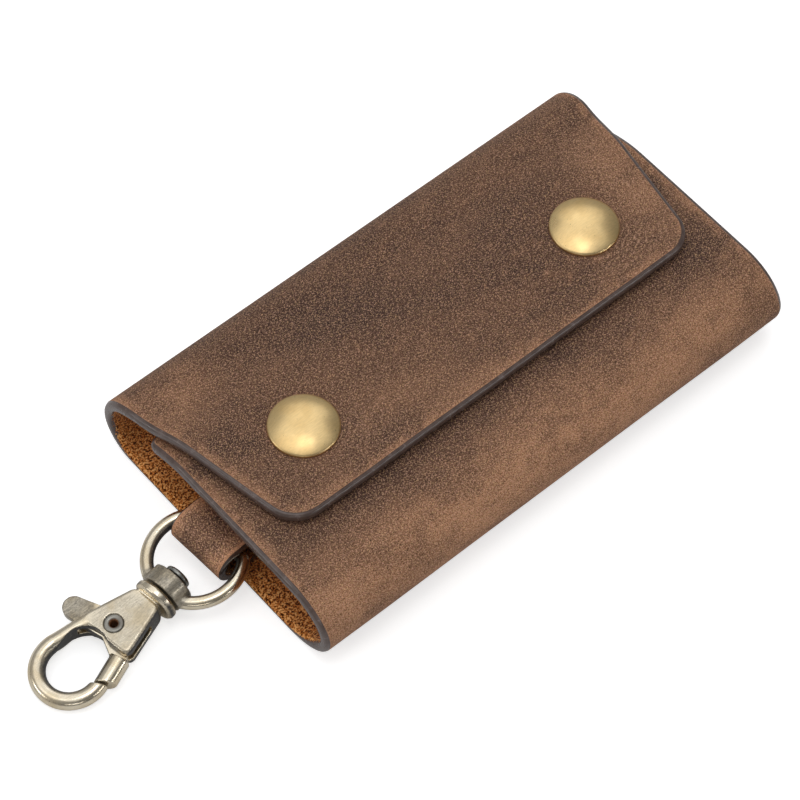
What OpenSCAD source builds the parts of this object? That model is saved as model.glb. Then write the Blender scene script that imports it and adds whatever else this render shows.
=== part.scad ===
// Key case: one long piece of leather folded into a back, a front panel and a flap with two press
// snaps, six key hooks on a rod inside, and a swivel snap hook on a strap at the left end.
// X runs along the case, Y from the bottom fold to the top fold, Z up. The case lies on its back.
// The origin is the middle of the back's underside.

/* [Leather wrap] */
// Length of the case along the folds
case_len = 106; // [90:1:130]
// Thickness of the leather
leather = 2.2; // [1.6:0.1:2.6]
// Distance from the origin to the outermost line of the top fold
top_reach = 30; // [28:0.5:34]
// Distance from the origin to the outermost line of the bottom fold
bottom_reach = 31; // [29:0.5:36]
// Height of the front panel's outer face over the back's underside
front_h = 16.2; // [15.5:0.1:20]
// Height of the outermost line of the top fold
top_fold_h = 7.5; // [6:0.1:9]
// How far the top fold runs in from its outermost line, below that line
top_fold_low_run = 7; // [5:0.5:10]
// How far the top fold runs in from its outermost line, above that line
top_fold_high_run = 9.5; // [7:0.5:11]
// How far the bottom fold runs in from its outermost line
bottom_fold_run = 10.5; // [8:0.5:13]

/* [Front panel] */
// How far the front panel reaches past the origin towards the top fold
front_reach = 17.5; // [14:0.5:19]
// Where the front panel starts to droop towards its free edge
front_droop_from = 7; // [6:0.5:9]
// How far the free edge droops
front_droop = 2.6; // [1:0.1:3.5]

/* [Flap] */
// How far the flap reaches past the origin towards the bottom fold
flap_reach = 14.4; // [12:0.2:18]
// Width of the flap at its free edge
flap_end_w = 92; // [80:1:100]
// Radius of the flap's corners
flap_corner_r = 6.5; // [3:0.5:10]
// Distance from the origin to where the flap's sides start to run in
flap_taper_from = 22; // [18:0.5:24]
// Distance from the origin to where the flap lies flat on the front panel
flap_flat_from = 9; // [8:0.5:10]
// Gap between the flap and the front panel
flap_gap = 0.2; // [0.1:0.05:0.5]

/* [Press snaps] */
// Distance from the end of the case to the middle of a snap
snap_in = 20.7; // [18:0.1:28]
// Diameter of the snap cap
snap_cap_d = 12.7; // [10:0.1:15]
// Height of the cap's rim
snap_rim_h = 0.5; // [0.3:0.1:1]
// Height of the cap's dome over its rim
snap_dome_h = 1.5; // [0.8:0.1:2]
// Diameter of the post that holds a cap or a stud
snap_post_d = 3; // [2:0.1:3.4]
// Diameter of the socket
socket_d = 9; // [8:0.1:10]
// Height of the socket
socket_h = 1.5; // [1.2:0.1:1.8]
// How deep the socket is pressed into the flap
socket_sink = 0.7; // [0.5:0.1:0.9]
// Diameter of the hollow in the socket
socket_bore_d = 5.8; // [5.6:0.1:6.4]
// Thickness of the socket's top
socket_top = 0.35; // [0.2:0.05:0.5]
// Diameter of the stud's foot and of the post's flange
stud_foot_d = 9.4; // [8:0.1:9.8]
// Thickness of the stud's foot and of the post's flange
stud_foot_h = 0.35; // [0.2:0.05:0.4]
// Diameter of the stud's bulb
stud_d = 4; // [3.6:0.1:4.2]
// Gap between the socket and the stud's foot
snap_gap = 0.15; // [0.1:0.05:0.2]

/* [Strap] */
// Width of the strap
strap_w = 12.6; // [10:0.2:12.8]
// Thickness of the strap leather
strap_t = 1.6; // [1.2:0.1:1.8]
// Inner radius of the strap's fold
strap_fold_r = 2.2; // [2:0.1:2.6]
// How far the strap stands out of the case
strap_out = 5; // [4.6:0.1:8]
// Distance from the end of the case to the strap rivet
strap_rivet_in = 11.5; // [11:0.5:14]
// How far the strap runs on past its rivet
strap_tail = 4.5; // [4:0.5:6]
// How far the strap rivet lies off the middle of the case
strap_off = -0.75; // [-4:0.05:4]
// Turn of the strap away from the case's length
strap_turn = 3.5; // [0:0.5:5]
// Diameter of the strap rivet's head and cap
strap_rivet_d = 6.4; // [5:0.2:8]
// Diameter of the strap rivet's shank
strap_shank_d = 2.6; // [2:0.1:3]

/* [Swivel loop] */
// Diameter of the loop's wire
loop_wire_d = 2.4; // [2:0.02:2.6]
// Middle radius of the loop
loop_r = 8.3; // [8.3:0.05:10]
// Distance from the loop's middle to its straight bar in the strap
loop_bar_off = 5.2; // [4.8:0.1:5.4]
// Middle radius of the corners at the bar's ends
loop_corner_r = 1.4; // [1.3:0.1:1.8]
// Diameter of the boss that the hook turns in
boss_d = 8; // [7:0.1:8.4]
// Length of the boss
boss_len = 3.3; // [2.4:0.1:3.6]
// How far the boss sits inside the loop's own round
boss_inset = 1.35; // [1:0.05:1.4]
// Distance from the middle of the strap's fold to the loop's bar
loop_bar_in = 1.1; // [0.6:0.1:1.2]
// How far the loop hangs off the middle of the strap
loop_side = 0.1; // [0:0.05:0.4]
// Turn of the hook and its loop away from the case's length
hook_turn = 8.5; // [-10:0.5:10]

/* [Hook] */
// Diameter of the stem of the swivel rivet
stem_d = 3; // [2.4:0.1:3.4]
// Diameter of the stem's mushroom head
stem_head_d = 4.8; // [4:0.1:5.6]
// Height of the stem's head
stem_head_h = 1.2; // [0.8:0.1:2]
// Gap between the stem's head and the boss
stem_play = 0.3; // [0.2:0.1:1]
// Diameter of the hook's flange
flange_d = 8.3; // [7:0.1:8.5]
// Thickness of the hook's flange
flange_t = 1.9; // [1.4:0.1:2.4]
// Width of the slope round the flange's rims
flange_slope = 0.5; // [0.2:0.05:0.7]
// Length of the cheeks, from the flange to the trigger's pivot
cheek_len = 7.4; // [7:0.1:8]
// Thickness over both cheeks
cheek_h = 5; // [4.6:0.1:5.4]
// Distance from the trigger's pivot to the near end of the eye
eye_from_pivot = 2.4; // [2.3:0.1:3]
// Inner width of the eye
eye_w = 8.4; // [7:0.1:9]
// Inner length of the eye
eye_len = 12; // [11:0.1:14]
// Diameter of the bow's wire
bow_wire_d = 3.1; // [2.6:0.1:3.4]
// How far the eye's middle lies off the stem's line
eye_off = -2.4; // [-3:0.1:-2]
// How far the trigger's pivot lies off the stem's line
pivot_off = -1.6; // [-2:0.1:-1]

/* [Trigger] */
// Diameter of the trigger rivet's tube
trigger_rivet_d = 2.7; // [2.4:0.1:2.9]
// Diameter of the trigger rivet's rolled heads
trigger_head_d = 3.4; // [3:0.1:3.6]
// Thickness of the trigger rivet's rolled heads
trigger_head_h = 0.35; // [0.2:0.05:0.5]
// Diameter of the hole through the trigger rivet
trigger_rivet_bore = 1.4; // [1:0.1:1.8]
// Thickness of the trigger's lever
lever_t = 1.7; // [1.4:0.1:2]
// Radius of the thumb pad's end
pad_r = 2; // [1.6:0.1:2.4]
// Distance from the pivot to the middle of the thumb pad's end
pad_reach = 8.2; // [7.5:0.1:9.5]
// Direction of the thumb pad from the pivot
pad_turn = -78; // [-82:1:-74]
// Diameter of the gate rod
gate_d = 3.7; // [2.8:0.1:3.9]
// Reach of the gate rod's tip from the pivot
gate_reach = 10.25; // [10:0.05:10.6]
// Gap between the gate's tip and the hook's nose
nose_gap = 0.35; // [0.3:0.05:0.6]

/* [Key rack] */
// Distance between key hooks
key_pitch = 9.6; // [9.4:0.1:10.4]
// Width of the plate across the case
plate_w = 9; // [8:0.5:11]
// Thickness of the plate
plate_t = 0.8; // [0.6:0.1:1]
// Distance from the top fold's outermost line to the plate's edge
plate_in = 8; // [8:0.5:9]
// Diameter of the rod
rod_d = 1.8; // [1.4:0.1:2]
// Height of the rod over the plate
rod_h = 2.1; // [2:0.1:2.6]
// Diameter of the heads of the plate's rivets
plate_rivet_d = 5; // [4:0.1:6]
// Diameter of the wire of a key hook
key_wire_d = 1.4; // [1.2:0.1:1.6]
// Inner width of a key hook
key_eye_w = 5.4; // [5:0.1:5.8]
// Inner length of a key hook
key_eye_len = 13; // [12:0.5:15]
// Length of a key hook's shank
key_shank = 4; // [3.5:0.5:5]
// Thickness of the spring leaf of a key hook
leaf_t = 0.4; // [0.3:0.05:0.5]

/* [Hidden] */
$fn = 48;

// Overrun of every cut past the face that it opens
cut = 1;
// Play of a fixed shank in its hole
fit = 0.05;
// Running play of a part that turns, all round
run = 0.08;
// Gap that keeps moving parts clear of each other
clear = 0.3;
// Number of key hooks
key_count = 6;
// Steps in a quarter of a fold
fold_steps = 14;
// Steps in a slow bend
ease_steps = 8;

// Colours
leather_colour = [0.36, 0.23, 0.15];
strap_colour = [0.33, 0.21, 0.14];
brass_colour = [0.72, 0.61, 0.40];
metal_colour = [0.66, 0.61, 0.52];
steel_colour = [0.55, 0.55, 0.54];

// Heights in the closed case
bottom_fold_h = front_h / 2;
flap_under = front_h + flap_gap;
flap_top = flap_under + leather;
case_half = case_len / 2;

// A point of a leather's outer face with its outward normal, on an oval round c with half axes r
function oval_point(c, r, a) =
  let (n = [cos(a) / r[0], sin(a) / r[1]])
  [c + [r[0] * cos(a), r[1] * sin(a)], n / norm(n)];

// Points of an oval's arc from angle a to angle b
function oval_arc(c, r, a, b) =
  [for (i = [0:fold_steps]) oval_point(c, r, a + (b - a) * i / fold_steps)];

// Points of a slow bend from p to q whose slope follows part of a cosine, from angle a to angle b.
// The side is 1 where the outer face looks up and -1 where it looks down.
function ease_line(p, q, a, b, side) =
  [for (i = [1:ease_steps])
    let (
      s = i / ease_steps,
      w = a + (b - a) * s,
      span = cos(a) - cos(b),
      slope = (q[1] - p[1]) * sin(w) * (b - a) * PI / 180 / span / (q[0] - p[0]),
      n = side * [-slope, 1]
    )
    [[p[0] + (q[0] - p[0]) * s, p[1] + (q[1] - p[1]) * (cos(a) - cos(w)) / span], n / norm(n)]];

// The closed outline of a leather of thickness t under a row of outer points
function ribbon(row, t) = concat(
  [for (k = row) k[0]],
  [for (i = [len(row) - 1:-1:0]) row[i][0] - t * row[i][1]]
);

// A leather section in Y and Z, drawn out along X
module along_x(length) {
  rotate([90, 0, 90]) linear_extrude(height = length, center = true) children();
}

// Places the children at the left and the right snap
module at_snap(side) {
  translate([side * (case_half - snap_in), 0, 0]) children();
}

// Leather wrap

back_row = concat(
  oval_arc([top_reach - top_fold_low_run, top_fold_h], [top_fold_low_run, top_fold_h], 0, -90),
  oval_arc([bottom_fold_run - bottom_reach, bottom_fold_h], [bottom_fold_run, bottom_fold_h], -90, -180)
);

strap_rivet_x = strap_rivet_in - case_half;
rivet_sink = leather / 3;
plate_edge = top_reach - plate_in;
plate_rivet_x = key_pitch * (key_count - 1) / 2 - key_pitch / 2;
plate_y = plate_edge - plate_w / 2;
plate_rivet_shank = plate_rivet_d / 2;
plate_rivet_h = plate_t / 2;

module back_panel() {
  color(leather_colour) difference() {
    along_x(case_len) polygon(ribbon(back_row, leather));
    translate([strap_rivet_x, strap_off, 0]) {
      translate([0, 0, -cut]) cylinder(d = strap_shank_d + 2 * fit, h = leather + 2 * cut);
      translate([0, 0, -cut]) cylinder(d = strap_rivet_d + 2 * fit, h = cut + rivet_sink);
    }
    for (s = [-1, 1]) translate([s * plate_rivet_x, plate_y, 0]) {
      translate([0, 0, -cut]) cylinder(d = plate_rivet_shank + 2 * fit, h = leather + 2 * cut);
      translate([0, 0, -cut]) cylinder(d = plate_rivet_d + 2 * fit, h = cut + rivet_sink);
    }
  }
}

flap_bend_h = (flap_top + front_h) / 2 - leather / 3;
flap_row = concat(
  oval_arc(
    [top_reach - top_fold_high_run, top_fold_h],
    [top_fold_high_run, flap_bend_h - top_fold_h], 0, 90
  ),
  ease_line([top_reach - top_fold_high_run, flap_bend_h], [flap_flat_from, flap_top], 0, 180, 1),
  [[[-flap_reach, flap_top], [0, 1]]]
);

// Plan of the flap: full width at the fold, running in to rounded corners
flap_taper = atan((case_half - flap_end_w / 2) / (flap_taper_from + flap_reach));
flap_corner = [
  flap_end_w / 2 + flap_corner_r * tan(flap_taper) - flap_corner_r / cos(flap_taper),
  flap_corner_r - flap_reach
];
flap_side = concat(
  [for (i = [0:ease_steps])
    let (a = -90 + (90 - flap_taper) * i / ease_steps)
    flap_corner + flap_corner_r * [cos(a), sin(a)]],
  [[case_half, flap_taper_from], [case_half, top_reach + cut]]
);
flap_plan = concat(
  flap_side,
  [for (i = [len(flap_side) - 1:-1:0]) [-flap_side[i][0], flap_side[i][1]]]
);

module flap() {
  color(leather_colour) difference() {
    intersection() {
      along_x(case_len) polygon(ribbon(flap_row, leather));
      linear_extrude(height = flap_top + cut) polygon(flap_plan);
    }
    for (s = [-1, 1]) at_snap(s) {
      cylinder(d = snap_post_d + 2 * fit, h = flap_top + cut);
      translate([0, 0, flap_under - cut]) cylinder(d = socket_d + 2 * fit, h = cut + socket_sink);
    }
  }
}

front_row = concat(
  oval_arc(
    [bottom_fold_run - bottom_reach, bottom_fold_h],
    [bottom_fold_run, front_h - bottom_fold_h], 180, 90
  ),
  [[[front_droop_from, front_h], [0, 1]]],
  ease_line([front_droop_from, front_h], [front_reach, front_h - front_droop], 0, 90, 1)
);
socket_under = flap_under + socket_sink - socket_h;
stud_foot_z = socket_under - snap_gap - stud_foot_h;

module front_panel() {
  color(leather_colour) difference() {
    along_x(case_len) polygon(ribbon(front_row, leather));
    for (s = [-1, 1]) at_snap(s) {
      translate([0, 0, front_h - leather - cut])
        cylinder(d = snap_post_d + 2 * fit, h = leather + 2 * cut);
      translate([0, 0, stud_foot_z]) cylinder(d = stud_foot_d + 2 * clear, h = front_h);
    }
  }
}

// Press snaps

snap_dome_r = (snap_cap_d * snap_cap_d / 4 + snap_dome_h * snap_dome_h) / (2 * snap_dome_h);
socket_ceiling = flap_under + socket_sink - socket_top;

module snap_cap(side) {
  color(brass_colour) at_snap(side) {
    translate([0, 0, socket_ceiling]) cylinder(d = snap_post_d, h = flap_top + snap_rim_h - socket_ceiling);
    translate([0, 0, flap_top]) cylinder(d = snap_cap_d, h = snap_rim_h);
    intersection() {
      translate([0, 0, flap_top + snap_rim_h + snap_dome_h - snap_dome_r]) sphere(r = snap_dome_r, $fn = 96);
      translate([0, 0, flap_top + snap_rim_h / 2]) cylinder(d = snap_cap_d, h = snap_rim_h + snap_dome_h);
    }
  }
}

module snap_socket(side) {
  color(metal_colour) at_snap(side) difference() {
    translate([0, 0, socket_under]) cylinder(d = socket_d, h = socket_h);
    translate([0, 0, socket_under - cut]) cylinder(d = socket_bore_d, h = cut + socket_h - socket_top);
    translate([0, 0, socket_under]) cylinder(d = snap_post_d + 2 * fit, h = socket_h + cut);
  }
}

stud_bore_h = socket_h / 2;
stud_neck_share = 0.8;
stud_h = socket_h - socket_top - snap_gap;

module snap_stud(side) {
  neck = stud_neck_share * stud_d / 2;
  color(metal_colour) at_snap(side) translate([0, 0, stud_foot_z]) difference() {
    union() {
      cylinder(d = stud_foot_d, h = stud_foot_h);
      cylinder(r = neck, h = stud_foot_h + stud_h);
      translate([0, 0, stud_foot_h + stud_h / 3]) cylinder(r1 = neck, r2 = stud_d / 2, h = stud_h / 3);
      translate([0, 0, stud_foot_h + 2 * stud_h / 3]) cylinder(r1 = stud_d / 2, r2 = neck, h = stud_h / 3);
    }
    translate([0, 0, -cut]) cylinder(d = snap_post_d - 2 * fit, h = cut + stud_bore_h);
  }
}

module snap_post(side) {
  under = front_h - leather;
  color(metal_colour) at_snap(side) {
    translate([0, 0, under - stud_foot_h]) cylinder(d = stud_foot_d, h = stud_foot_h);
    translate([0, 0, under - stud_foot_h])
      cylinder(d = snap_post_d - 4 * fit, h = stud_foot_z + stud_bore_h - fit - under + stud_foot_h);
  }
}

// Strap and its rivet

strap_fold_out = strap_fold_r + strap_t;
strap_fold = [-case_half - strap_out + strap_fold_out, leather + strap_fold_out];
strap_ply = leather + 2 * strap_t + fit;
strap_tail_x = strap_rivet_x + strap_tail;
strap_bend_from = strap_fold[0] + strap_fold_r;
strap_bend_to = strap_rivet_x - strap_rivet_d / 2;
strap_row = concat(
  [[[strap_tail_x, leather], [0, -1]]],
  [for (k = oval_arc(strap_fold, [strap_fold_out, strap_fold_out], -90, -270)) k],
  [[[strap_bend_from, leather + 2 * strap_fold_out], [0, 1]]],
  ease_line([strap_bend_from, leather + 2 * strap_fold_out], [strap_bend_to, strap_ply], 0, 180, 1),
  [[[strap_tail_x, strap_ply], [0, 1]]]
);

module strap_loop() {
  color(strap_colour) translate([strap_rivet_x, strap_off, 0]) rotate([0, 0, strap_turn]) difference() {
    translate([-strap_rivet_x, strap_w / 2, 0]) rotate([90, 0, 0])
      linear_extrude(height = strap_w) polygon(ribbon(strap_row, strap_t));
    translate([0, 0, leather - cut])
      cylinder(d = strap_shank_d + 2 * fit, h = strap_ply - leather + 2 * cut);
  }
}

module strap_rivet() {
  color(brass_colour) translate([strap_rivet_x, strap_off, 0]) {
    translate([0, 0, fit]) cylinder(d = strap_rivet_d, h = rivet_sink - fit);
    translate([0, 0, fit]) cylinder(d = strap_shank_d, h = strap_ply - fit);
  }
}

strap_cap_h = strap_t / 2;
strap_cap_dome_r = (strap_rivet_d * strap_rivet_d / 4 + strap_cap_h * strap_cap_h) / (2 * strap_cap_h);

module strap_rivet_cap() {
  color(brass_colour) translate([strap_rivet_x, strap_off, strap_ply]) intersection() {
    translate([0, 0, strap_cap_h - strap_cap_dome_r]) sphere(r = strap_cap_dome_r, $fn = 64);
    cylinder(d = strap_rivet_d, h = strap_cap_h);
  }
}

// Key rack: plate with an ear at each end, rod and hooks

rod_y = plate_edge - plate_w - rod_d;
rod_z = leather + plate_t + rod_h;
rack_half = key_pitch * key_count / 2;
ear_t = plate_t + rod_d / 3;
ear_r = rod_d;

module key_plate() {
  color(steel_colour) difference() {
    union() {
      translate([-rack_half - ear_t, plate_edge - plate_w, leather])
        cube([2 * rack_half + 2 * ear_t, plate_w, plate_t]);
      for (s = [-1, 1]) translate([s * (rack_half + ear_t / 2) - ear_t / 2, 0, 0]) {
        translate([0, rod_y, rod_z]) rotate([0, 90, 0]) cylinder(r = ear_r, h = ear_t);
        translate([0, rod_y - ear_r, leather]) cube([ear_t, ear_r + rod_d + plate_w / 2, rod_z - leather]);
        translate([0, rod_y, leather]) cube([ear_t, rod_d + plate_w / 3, rod_z - leather + ear_r / 2]);
      }
    }
    for (s = [-1, 1]) translate([s * plate_rivet_x, plate_y, leather - cut])
      cylinder(d = plate_rivet_shank + 2 * fit, h = plate_t + 2 * cut);
    translate([-rack_half - ear_t - cut, rod_y, rod_z]) rotate([0, 90, 0])
      cylinder(d = rod_d + 2 * fit, h = 2 * (rack_half + ear_t + cut));
  }
}

module plate_rivets() {
  color(brass_colour) for (s = [-1, 1]) translate([s * plate_rivet_x, plate_y, 0]) {
    translate([0, 0, fit]) cylinder(d = plate_rivet_d, h = rivet_sink - fit);
    translate([0, 0, fit]) cylinder(d = plate_rivet_shank, h = leather + plate_t + plate_rivet_h - fit);
    translate([0, 0, leather + plate_t]) cylinder(d = plate_rivet_d, h = plate_rivet_h);
    translate([0, 0, leather + plate_t + plate_rivet_h])
      cylinder(d1 = plate_rivet_d, d2 = plate_rivet_shank, h = plate_rivet_h);
  }
}

module key_rod() {
  color(metal_colour) translate([-rack_half - ear_t - rod_d / 4, rod_y, rod_z]) rotate([0, 90, 0])
    cylinder(d = rod_d, h = 2 * (rack_half + ear_t) + rod_d / 2);
}

// A key hook in its own frame: the rod runs along X through the origin, the hook hangs along -Y
key_r = key_wire_d / 2;
key_bend_r = key_eye_w / 2 + key_r;
key_eye_top = -rod_d - key_shank;
key_eye_end = key_eye_top - key_eye_len + key_eye_w / 2;
key_mouth_share = 0.417;
key_mouth = key_mouth_share * key_eye_len;
key_tube_r = rod_d / 2 + key_wire_d / 2 + run;
key_lean = asin((rod_z - leather - key_r - fit) / (key_bend_r - key_eye_end));

module at_key(i) {
  x = (i - (key_count + 1) / 2) * key_pitch;
  translate([x, rod_y, rod_z]) rotate([key_lean, 0, 0]) children();
}

// Wire from p to q in the hook's plane
module key_wire(p, q) {
  d = q - p;
  translate([p[0], p[1], 0]) rotate([0, 90, atan2(d[1], d[0])]) cylinder(r = key_r, h = norm(d), $fn = 24);
}

module key_hook(i) {
  color(metal_colour) at_key(i) difference() {
    union() {
      translate([-key_pitch / 3, 0, 0]) rotate([0, 90, 0]) cylinder(r = key_tube_r, h = 2 * key_pitch / 3);
      translate([-key_pitch / 4, -rod_d - key_shank, -key_r])
        cube([key_pitch / 2, rod_d + key_shank, key_wire_d]);
      translate([-key_bend_r, key_eye_top, 0]) sphere(r = key_r, $fn = 24);
      key_wire([-key_bend_r, key_eye_top], [key_pitch / 4, key_eye_top]);
      key_wire([-key_bend_r, key_eye_top], [-key_bend_r, key_eye_end]);
      translate([0, key_eye_end, 0]) rotate([0, 0, 180])
        rotate_extrude(angle = 180) translate([key_bend_r, 0]) circle(r = key_r, $fn = 24);
      key_wire([key_bend_r, key_eye_end], [key_bend_r, key_eye_top - key_mouth]);
      translate([key_bend_r, key_eye_top - key_mouth, 0]) sphere(r = key_r, $fn = 24);
    }
    translate([-key_pitch, 0, 0]) rotate([0, 90, 0]) cylinder(d = rod_d + 2 * run, h = 2 * key_pitch);
  }
}

// Spring leaf: it springs from the shank and presses on the inside of the hook's nose
leaf_w = key_wire_d;
leaf_x = key_bend_r - key_r - fit;

module key_gate(i) {
  tail = key_eye_top - key_r - fit;
  color(steel_colour) at_key(i) {
    translate([leaf_x - leaf_t, key_eye_top - key_mouth - 2 * key_wire_d, -leaf_w / 2])
      cube([leaf_t, key_mouth + 2 * key_wire_d - key_r - fit, leaf_w]);
    translate([-key_pitch / 4, tail - leaf_t, -leaf_w / 2])
      cube([leaf_x + key_pitch / 4, leaf_t, leaf_w]);
  }
}

// Swivel loop, in a frame whose X runs along the hook from the loop's bar in the strap

loop_wire_r = loop_wire_d / 2;
pin_x = strap_fold[0] + loop_bar_in;
pin_y = strap_off - (strap_rivet_x - pin_x) * tan(strap_turn) + loop_side;
loop_pin = [pin_x, pin_y, leather + strap_fold_out];
corner_x = loop_corner_r;
corner_y = sqrt(pow(loop_r - loop_corner_r, 2) - pow(loop_bar_off - loop_corner_r, 2));
corner_turn = atan2(corner_y, corner_x - loop_bar_off);
boss_x = loop_bar_off + loop_r - boss_inset - boss_len / 2;
// Each stretch of the loop's wire is thinner than the last by this much, and runs a little way into it
wire_step = 0.02;
corner_lap = 1;
boss_turn = asin((boss_d / 2 - loop_wire_r / 2) / loop_r);
stem_hole_d = stem_d + 2 * run;

flange_x = boss_x + boss_len + clear;
pivot = [flange_x + flange_t + cheek_len, pivot_off];
eye_r = eye_w / 2;
eye_near = [pivot[0] + eye_from_pivot + eye_r, eye_off];
eye_far = [pivot[0] + eye_from_pivot + eye_len - eye_r, eye_off];
bow_wire_r = bow_wire_d / 2;
bow_r = eye_r + bow_wire_r;

// The hook slopes down until its bow rests on what the case lies on
hook_tilt = asin((loop_pin[2] - bow_wire_r - fit) / (eye_far[0] + bow_r));

module at_hook() {
  translate(loop_pin) rotate([0, 0, 180 + hook_turn]) rotate([0, hook_tilt, 0]) children();
}

module loop_arc(radius, wire_r, turn) {
  rotate_extrude(angle = turn) translate([radius, 0]) circle(r = wire_r);
}

module swivel_loop() {
  corner_wire_r = loop_wire_r - wire_step;
  color(metal_colour) at_hook() difference() {
    union() {
      rotate([90, 0, 0])
        cylinder(r = corner_wire_r - wire_step, h = 2 * (corner_y + wire_step), center = true);
      for (s = [-1, 1]) {
        translate([corner_x, s * corner_y, 0]) rotate([0, 0, s > 0 ? corner_turn - corner_lap : 180])
          loop_arc(loop_corner_r, corner_wire_r, 180 - corner_turn + corner_lap);
        translate([loop_bar_off, 0, 0]) rotate([0, 0, s > 0 ? boss_turn : -corner_turn])
          loop_arc(loop_r, loop_wire_r, corner_turn - boss_turn);
      }
      translate([boss_x, 0, 0]) rotate([0, 90, 0]) cylinder(d = boss_d, h = boss_len);
    }
    translate([boss_x - cut, 0, 0]) rotate([0, 90, 0]) cylinder(d = stem_hole_d, h = boss_len + 2 * cut);
  }
}

// Stem: a rivet from inside the loop, through the boss, pressed into the hook's neck
stem_in = cheek_len / 3;

module swivel_rivet() {
  head_x = boss_x - stem_play - stem_head_h;
  color(steel_colour) at_hook() rotate([0, 90, 0]) {
    translate([0, 0, head_x + stem_head_h / 2]) cylinder(d = stem_head_d, h = stem_head_h / 2);
    translate([0, 0, head_x]) cylinder(d1 = stem_d, d2 = stem_head_d, h = stem_head_h / 2);
    translate([0, 0, head_x]) cylinder(d = stem_d, h = flange_x + flange_t + stem_in - head_x);
  }
}

// Hook: flange, two cheeks with a slot for the trigger, limb, bow and nose

neck_r_share = 0.217;
neck_half_share = 0.182;
neck_off_share = 0.385;
neck_r = neck_r_share * flange_d;
neck_x = flange_x + flange_t + neck_r - fit;
neck_y = neck_off_share * pivot_off;
neck_half = neck_half_share * flange_d;
gate_corner_share = [0.17, 0.434];
limb_corner_share = [0.36, -0.78];
cheek_r = cheek_h / 4;
limb = pivot + limb_corner_share * cheek_h;
// The limb runs into the bow where a line from it touches the bow's round
limb_from_eye = limb - eye_far;
bow_from = atan2(limb_from_eye[1], limb_from_eye[0]) + acos(bow_r / norm(limb_from_eye));
nose_turn = 110;
slot_h = lever_t + 2 * clear / 3;
slot_from = pivot[0] - cheek_len + stem_in + neck_r / 2;
slot_to = eye_near[0] - eye_r / 2;

// A disc with rounded rims, for the corners of the cheeks
module corner_disc(p, r) {
  for (k = [0:2]) let (a = 45 * k)
    translate([p[0], p[1], 0])
      cylinder(
        r = r - cheek_r / 2 * (1 - cos(a)),
        h = cheek_h - cheek_r * (1 - sin(a)),
        center = true,
        $fn = 32
      );
}

module flange() {
  rotate([0, 90, 0]) translate([0, 0, flange_x]) rotate_extrude() polygon([
    [0, 0], [flange_d / 2 - flange_slope, 0], [flange_d / 2, flange_slope],
    [flange_d / 2, flange_t - flange_slope], [flange_d / 2 - flange_slope, flange_t], [0, flange_t]
  ]);
}

module hook_casting() {
  flange();
  hull() {
    corner_disc([neck_x, neck_y - neck_half], neck_r);
    corner_disc([neck_x, neck_y + neck_half], neck_r);
    corner_disc(pivot + gate_corner_share * gate_reach, cheek_r);
    corner_disc(limb, cheek_r);
  }
  hull() {
    corner_disc(limb, cheek_r);
    translate(eye_far + bow_r * [cos(bow_from), sin(bow_from)]) sphere(r = bow_wire_r, $fn = 32);
  }
  difference() {
    translate(eye_far) rotate([0, 0, bow_from])
      rotate_extrude(angle = nose_turn - bow_from) translate([bow_r, 0]) circle(r = bow_wire_r);
    translate([pivot[0], pivot[1], -cheek_h / 2]) cylinder(r = gate_reach + nose_gap, h = cheek_h, $fn = 96);
  }
}

module hook_body() {
  color(metal_colour) at_hook() difference() {
    hook_casting();
    translate([0, 0, -cheek_h]) {
      translate(eye_near) cylinder(r = eye_r, h = 2 * cheek_h);
      translate(eye_far) cylinder(r = eye_r, h = 2 * cheek_h);
      translate(eye_near - [0, eye_r]) cube([eye_far[0] - eye_near[0], eye_w, 2 * cheek_h]);
    }
    translate([slot_from, -2 * cheek_h, -slot_h / 2]) cube([slot_to - slot_from, 4 * cheek_h, slot_h]);
    translate(pivot) {
      cylinder(d = trigger_rivet_d + 2 * fit, h = 2 * cheek_h, center = true);
      for (s = [0, 1]) mirror([0, 0, s]) translate([0, 0, cheek_h / 2 - trigger_head_h])
        cylinder(d = trigger_head_d + 2 * fit, h = cut + trigger_head_h);
      translate([-spring_r, 0, 0]) cylinder(d = spring_wire_d + 2 * fit, h = spring_leg_h + fit);
    }
    rotate([0, 90, 0]) cylinder(d = stem_d + 2 * fit, h = flange_x + flange_t + stem_in + cut);
  }
}

// Trigger: lever between the cheeks, thumb pad on one side, gate rod on the other

gate_root_share = [0.36, 0.435];
gate_tip_share = [0.84, 0.542];
gate_root = gate_root_share * gate_reach;
gate_tip = gate_tip_share * gate_reach;
gate_turn = atan2(gate_tip[1] - gate_root[1], gate_tip[0] - gate_root[0]);
hub_r = trigger_rivet_d;
arm_share = 0.38;
arm_r = arm_share * gate_d;
spring_wire_share = 0.294;
spring_wire_d = spring_wire_share * lever_t;
spring_r = trigger_rivet_d / 2 + clear / 2 + spring_wire_d / 2;
spring_leg_h = cheek_h / 3;
recess_r = spring_r + spring_wire_d / 2 + clear;

// A flat arm from the hub to a round end at p
module lever_arm(p, r) {
  n = [-p[1], p[0]] / norm(p);
  linear_extrude(height = lever_t, center = true) {
    translate(p) circle(r = r);
    polygon([hub_r * n, p + r * n, p - r * n, -hub_r * n]);
  }
}

module trigger() {
  color(metal_colour) at_hook() translate(pivot) difference() {
    union() {
      cylinder(r = hub_r, h = lever_t, center = true);
      lever_arm(pad_reach * [cos(pad_turn), sin(pad_turn)], pad_r);
      lever_arm(gate_root, arm_r);
      intersection() {
        translate(gate_root) rotate([0, 90, gate_turn]) cylinder(d = gate_d, h = gate_reach);
        cylinder(r = gate_reach, h = 2 * gate_d, center = true, $fn = 96);
      }
    }
    cylinder(d = trigger_rivet_d + 2 * run, h = 2 * lever_t, center = true);
    translate([0, 0, lever_t / 2 - spring_wire_d - clear / 2]) cylinder(r = recess_r, h = lever_t);
  }
}

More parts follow.
